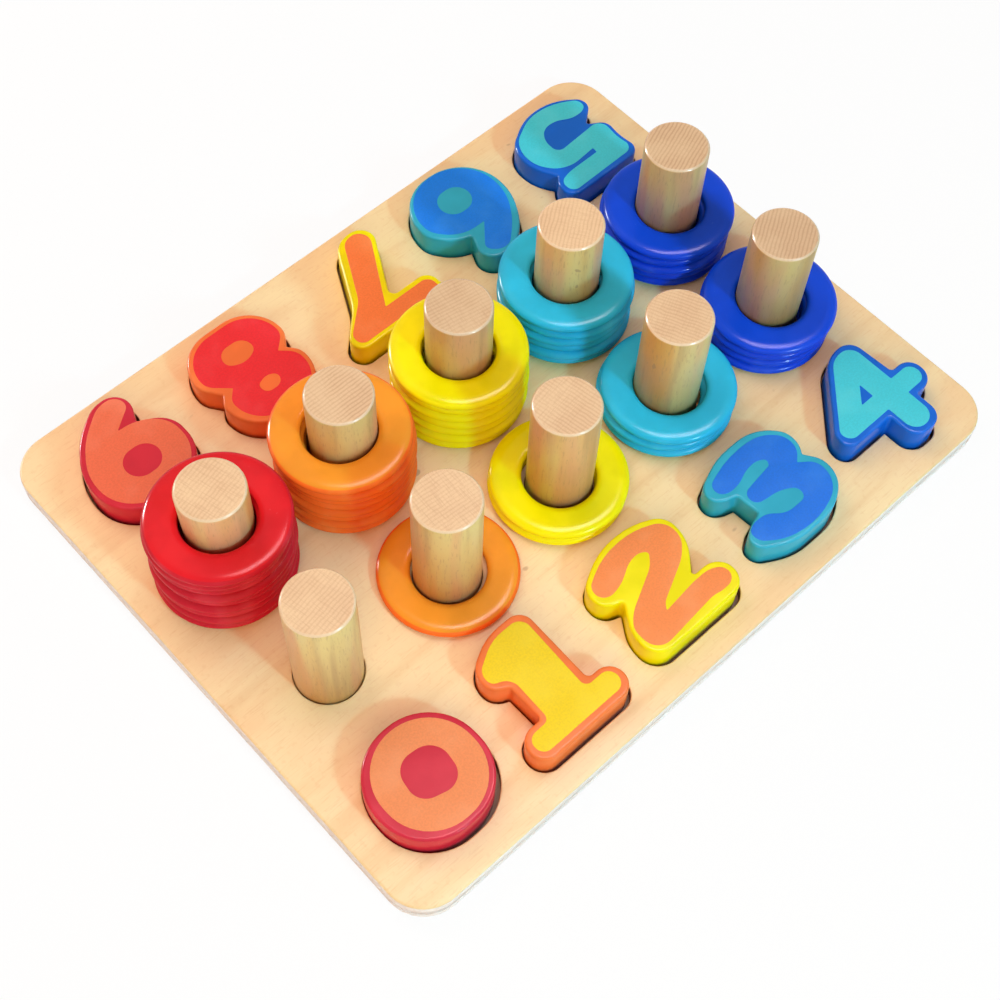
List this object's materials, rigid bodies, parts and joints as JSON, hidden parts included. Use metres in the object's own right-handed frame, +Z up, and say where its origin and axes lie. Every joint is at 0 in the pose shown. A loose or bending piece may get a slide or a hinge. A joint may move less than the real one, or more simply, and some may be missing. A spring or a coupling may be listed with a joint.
{
  "type": "wooden counting stacker",
  "caption": "Board with lift-out painted number tiles in pockets and upright pegs that carry stacks of coloured rings, for learning to count.",
  "frame": {"origin": "middle of the board's underside", "axes": "+X along the board's long side from the zero to the four, +Y from the front row of numbers to the back row, +Z up along the pegs"},
  "size_m": [0.3, 0.238, 0.0665],
  "materials": {
    "board": "bare light birch ply, sanded, fine straight grain along the long side",
    "peg": "bare beech dowel, sanded, end grain on top",
    "crimson_paint": "wood with crimson gloss lacquer",
    "red_paint": "wood with bright red gloss lacquer",
    "orange_paint": "wood with orange gloss lacquer",
    "yellow_paint": "wood with yellow gloss lacquer",
    "cyan_paint": "wood with light blue gloss lacquer",
    "blue_paint": "wood with dark blue gloss lacquer"
  },
  "bodies": {
    "root": {"base_panel": "board", "pocket_panel": "board", "zero_peg": "peg", "one_peg": "peg", "two_peg": "peg", "three_peg": "peg", "four_peg": "peg", "five_peg": "peg", "six_peg": "peg", "seven_peg": "peg", "eight_peg": "peg", "nine_peg": "peg"},
    "zero_digit": {"zero_digit": "crimson_paint"},
    "one_digit": {"one_digit": "orange_paint"},
    "two_digit": {"two_digit": "yellow_paint"},
    "three_digit": {"three_digit": "cyan_paint"},
    "four_digit": {"four_digit": "blue_paint"},
    "five_digit": {"five_digit": "blue_paint"},
    "six_digit": {"six_digit": "cyan_paint"},
    "seven_digit": {"seven_digit": "yellow_paint"},
    "eight_digit": {"eight_digit": "orange_paint"},
    "nine_digit": {"nine_digit": "crimson_paint"},
    "one_stack_ring_1": {"one_stack_ring_1": "orange_paint"},
    "two_stack_ring_1": {"two_stack_ring_1": "yellow_paint"},
    "two_stack_ring_2": {"two_stack_ring_2": "yellow_paint"},
    "three_stack_ring_1": {"three_stack_ring_1": "cyan_paint"},
    "three_stack_ring_2": {"three_stack_ring_2": "cyan_paint"},
    "three_stack_ring_3": {"three_stack_ring_3": "cyan_paint"},
    "four_stack_ring_1": {"four_stack_ring_1": "blue_paint"},
    "four_stack_ring_2": {"four_stack_ring_2": "blue_paint"},
    "four_stack_ring_3": {"four_stack_ring_3": "blue_paint"},
    "four_stack_ring_4": {"four_stack_ring_4": "blue_paint"},
    "five_stack_ring_1": {"five_stack_ring_1": "blue_paint"},
    "five_stack_ring_2": {"five_stack_ring_2": "blue_paint"},
    "five_stack_ring_3": {"five_stack_ring_3": "blue_paint"},
    "five_stack_ring_4": {"five_stack_ring_4": "blue_paint"},
    "five_stack_ring_5": {"five_stack_ring_5": "blue_paint"},
    "six_stack_ring_1": {"six_stack_ring_1": "cyan_paint"},
    "six_stack_ring_2": {"six_stack_ring_2": "cyan_paint"},
    "six_stack_ring_3": {"six_stack_ring_3": "cyan_paint"},
    "six_stack_ring_4": {"six_stack_ring_4": "cyan_paint"},
    "six_stack_ring_5": {"six_stack_ring_5": "cyan_paint"},
    "six_stack_ring_6": {"six_stack_ring_6": "cyan_paint"},
    "seven_stack_rings_1_to_3": {"seven_stack_rings_1_to_3": "yellow_paint"},
    "seven_stack_ring_4": {"seven_stack_ring_4": "yellow_paint"},
    "seven_stack_ring_5": {"seven_stack_ring_5": "yellow_paint"},
    "seven_stack_ring_6": {"seven_stack_ring_6": "yellow_paint"},
    "seven_stack_ring_7": {"seven_stack_ring_7": "yellow_paint"},
    "eight_stack_rings_1_to_3": {"eight_stack_rings_1_to_3": "orange_paint"},
    "eight_stack_ring_4": {"eight_stack_ring_4": "orange_paint"},
    "eight_stack_ring_5": {"eight_stack_ring_5": "orange_paint"},
    "eight_stack_ring_6": {"eight_stack_ring_6": "orange_paint"},
    "eight_stack_ring_7": {"eight_stack_ring_7": "orange_paint"},
    "eight_stack_ring_8": {"eight_stack_ring_8": "orange_paint"},
    "nine_stack_rings_1_to_4": {"nine_stack_rings_1_to_4": "red_paint"},
    "nine_stack_ring_5": {"nine_stack_ring_5": "red_paint"},
    "nine_stack_ring_6": {"nine_stack_ring_6": "red_paint"},
    "nine_stack_ring_7": {"nine_stack_ring_7": "red_paint"},
    "nine_stack_ring_8": {"nine_stack_ring_8": "red_paint"},
    "nine_stack_ring_9": {"nine_stack_ring_9": "red_paint"}
  },
  "joints": [
    {"name": "zero_digit_lift", "type": "slide", "parent": "root", "child": "zero_digit", "axis": [0, 0, 1], "range_m": [0, 0.02]},
    {"name": "one_digit_lift", "type": "slide", "parent": "root", "child": "one_digit", "axis": [0, 0, 1], "range_m": [0, 0.02]},
    {"name": "two_digit_lift", "type": "slide", "parent": "root", "child": "two_digit", "axis": [0, 0, 1], "range_m": [0, 0.02]},
    {"name": "three_digit_lift", "type": "slide", "parent": "root", "child": "three_digit", "axis": [0, 0, 1], "range_m": [0, 0.02]},
    {"name": "four_digit_lift", "type": "slide", "parent": "root", "child": "four_digit", "axis": [0, 0, 1], "range_m": [0, 0.02]},
    {"name": "five_digit_lift", "type": "slide", "parent": "root", "child": "five_digit", "axis": [0, 0, 1], "range_m": [0, 0.02]},
    {"name": "six_digit_lift", "type": "slide", "parent": "root", "child": "six_digit", "axis": [0, 0, 1], "range_m": [0, 0.02]},
    {"name": "seven_digit_lift", "type": "slide", "parent": "root", "child": "seven_digit", "axis": [0, 0, 1], "range_m": [0, 0.02]},
    {"name": "eight_digit_lift", "type": "slide", "parent": "root", "child": "eight_digit", "axis": [0, 0, 1], "range_m": [0, 0.02]},
    {"name": "nine_digit_lift", "type": "slide", "parent": "root", "child": "nine_digit", "axis": [0, 0, 1], "range_m": [0, 0.02]},
    {"name": "one_stack_ring_1_lift", "type": "slide", "parent": "root", "child": "one_stack_ring_1", "axis": [0, 0, 1], "range_m": [0, 0.0614]},
    {"name": "two_stack_ring_1_lift", "type": "slide", "parent": "root", "child": "two_stack_ring_1", "axis": [0, 0, 1], "range_m": [0, 0.0614]},
    {"name": "two_stack_ring_2_lift", "type": "slide", "parent": "two_stack_ring_1", "child": "two_stack_ring_2", "axis": [0, 0, 1], "range_m": [0, 0.057]},
    {"name": "three_stack_ring_1_lift", "type": "slide", "parent": "root", "child": "three_stack_ring_1", "axis": [0, 0, 1], "range_m": [0, 0.0614]},
    {"name": "three_stack_ring_2_lift", "type": "slide", "parent": "three_stack_ring_1", "child": "three_stack_ring_2", "axis": [0, 0, 1], "range_m": [0, 0.057]},
    {"name": "three_stack_ring_3_lift", "type": "slide", "parent": "three_stack_ring_2", "child": "three_stack_ring_3", "axis": [0, 0, 1], "range_m": [0, 0.0526]},
    {"name": "four_stack_ring_1_lift", "type": "slide", "parent": "root", "child": "four_stack_ring_1", "axis": [0, 0, 1], "range_m": [0, 0.0614]},
    {"name": "four_stack_ring_2_lift", "type": "slide", "parent": "four_stack_ring_1", "child": "four_stack_ring_2", "axis": [0, 0, 1], "range_m": [0, 0.057]},
    {"name": "four_stack_ring_3_lift", "type": "slide", "parent": "four_stack_ring_2", "child": "four_stack_ring_3", "axis": [0, 0, 1], "range_m": [0, 0.0526]},
    {"name": "four_stack_ring_4_lift", "type": "slide", "parent": "four_stack_ring_3", "child": "four_stack_ring_4", "axis": [0, 0, 1], "range_m": [0, 0.0482]},
    {"name": "five_stack_ring_1_lift", "type": "slide", "parent": "root", "child": "five_stack_ring_1", "axis": [0, 0, 1], "range_m": [0, 0.0614]},
    {"name": "five_stack_ring_2_lift", "type": "slide", "parent": "five_stack_ring_1", "child": "five_stack_ring_2", "axis": [0, 0, 1], "range_m": [0, 0.057]},
    {"name": "five_stack_ring_3_lift", "type": "slide", "parent": "five_stack_ring_2", "child": "five_stack_ring_3", "axis": [0, 0, 1], "range_m": [0, 0.0526]},
    {"name": "five_stack_ring_4_lift", "type": "slide", "parent": "five_stack_ring_3", "child": "five_stack_ring_4", "axis": [0, 0, 1], "range_m": [0, 0.0482]},
    {"name": "five_stack_ring_5_lift", "type": "slide", "parent": "five_stack_ring_4", "child": "five_stack_ring_5", "axis": [0, 0, 1], "range_m": [0, 0.0438]},
    {"name": "six_stack_ring_1_lift", "type": "slide", "parent": "root", "child": "six_stack_ring_1", "axis": [0, 0, 1], "range_m": [0, 0.0614]},
    {"name": "six_stack_ring_2_lift", "type": "slide", "parent": "six_stack_ring_1", "child": "six_stack_ring_2", "axis": [0, 0, 1], "range_m": [0, 0.057]},
    {"name": "six_stack_ring_3_lift", "type": "slide", "parent": "six_stack_ring_2", "child": "six_stack_ring_3", "axis": [0, 0, 1], "range_m": [0, 0.0526]},
    {"name": "six_stack_ring_4_lift", "type": "slide", "parent": "six_stack_ring_3", "child": "six_stack_ring_4", "axis": [0, 0, 1], "range_m": [0, 0.0482]},
    {"name": "six_stack_ring_5_lift", "type": "slide", "parent": "six_stack_ring_4", "child": "six_stack_ring_5", "axis": [0, 0, 1], "range_m": [0, 0.0438]},
    {"name": "six_stack_ring_6_lift", "type": "slide", "parent": "six_stack_ring_5", "child": "six_stack_ring_6", "axis": [0, 0, 1], "range_m": [0, 0.0394]},
    {"name": "seven_stack_rings_1_to_3_lift", "type": "slide", "parent": "root", "child": "seven_stack_rings_1_to_3", "axis": [0, 0, 1], "range_m": [0, 0.0614]},
    {"name": "seven_stack_ring_4_lift", "type": "slide", "parent": "seven_stack_rings_1_to_3", "child": "seven_stack_ring_4", "axis": [0, 0, 1], "range_m": [0, 0.0482]},
    {"name": "seven_stack_ring_5_lift", "type": "slide", "parent": "seven_stack_ring_4", "child": "seven_stack_ring_5", "axis": [0, 0, 1], "range_m": [0, 0.0438]},
    {"name": "seven_stack_ring_6_lift", "type": "slide", "parent": "seven_stack_ring_5", "child": "seven_stack_ring_6", "axis": [0, 0, 1], "range_m": [0, 0.0394]},
    {"name": "seven_stack_ring_7_lift", "type": "slide", "parent": "seven_stack_ring_6", "child": "seven_stack_ring_7", "axis": [0, 0, 1], "range_m": [0, 0.035]},
    {"name": "eight_stack_rings_1_to_3_lift", "type": "slide", "parent": "root", "child": "eight_stack_rings_1_to_3", "axis": [0, 0, 1], "range_m": [0, 0.0614]},
    {"name": "eight_stack_ring_4_lift", "type": "slide", "parent": "eight_stack_rings_1_to_3", "child": "eight_stack_ring_4", "axis": [0, 0, 1], "range_m": [0, 0.0482]},
    {"name": "eight_stack_ring_5_lift", "type": "slide", "parent": "eight_stack_ring_4", "child": "eight_stack_ring_5", "axis": [0, 0, 1], "range_m": [0, 0.0438]},
    {"name": "eight_stack_ring_6_lift", "type": "slide", "parent": "eight_stack_ring_5", "child": "eight_stack_ring_6", "axis": [0, 0, 1], "range_m": [0, 0.0394]},
    {"name": "eight_stack_ring_7_lift", "type": "slide", "parent": "eight_stack_ring_6", "child": "eight_stack_ring_7", "axis": [0, 0, 1], "range_m": [0, 0.035]},
    {"name": "eight_stack_ring_8_lift", "type": "slide", "parent": "eight_stack_ring_7", "child": "eight_stack_ring_8", "axis": [0, 0, 1], "range_m": [0, 0.0306]},
    {"name": "nine_stack_rings_1_to_4_lift", "type": "slide", "parent": "root", "child": "nine_stack_rings_1_to_4", "axis": [0, 0, 1], "range_m": [0, 0.0614]},
    {"name": "nine_stack_ring_5_lift", "type": "slide", "parent": "nine_stack_rings_1_to_4", "child": "nine_stack_ring_5", "axis": [0, 0, 1], "range_m": [0, 0.0438]},
    {"name": "nine_stack_ring_6_lift", "type": "slide", "parent": "nine_stack_ring_5", "child": "nine_stack_ring_6", "axis": [0, 0, 1], "range_m": [0, 0.0394]},
    {"name": "nine_stack_ring_7_lift", "type": "slide", "parent": "nine_stack_ring_6", "child": "nine_stack_ring_7", "axis": [0, 0, 1], "range_m": [0, 0.035]},
    {"name": "nine_stack_ring_8_lift", "type": "slide", "parent": "nine_stack_ring_7", "child": "nine_stack_ring_8", "axis": [0, 0, 1], "range_m": [0, 0.0306]},
    {"name": "nine_stack_ring_9_lift", "type": "slide", "parent": "nine_stack_ring_8", "child": "nine_stack_ring_9", "axis": [0, 0, 1], "range_m": [0, 0.0262]}
  ]
}
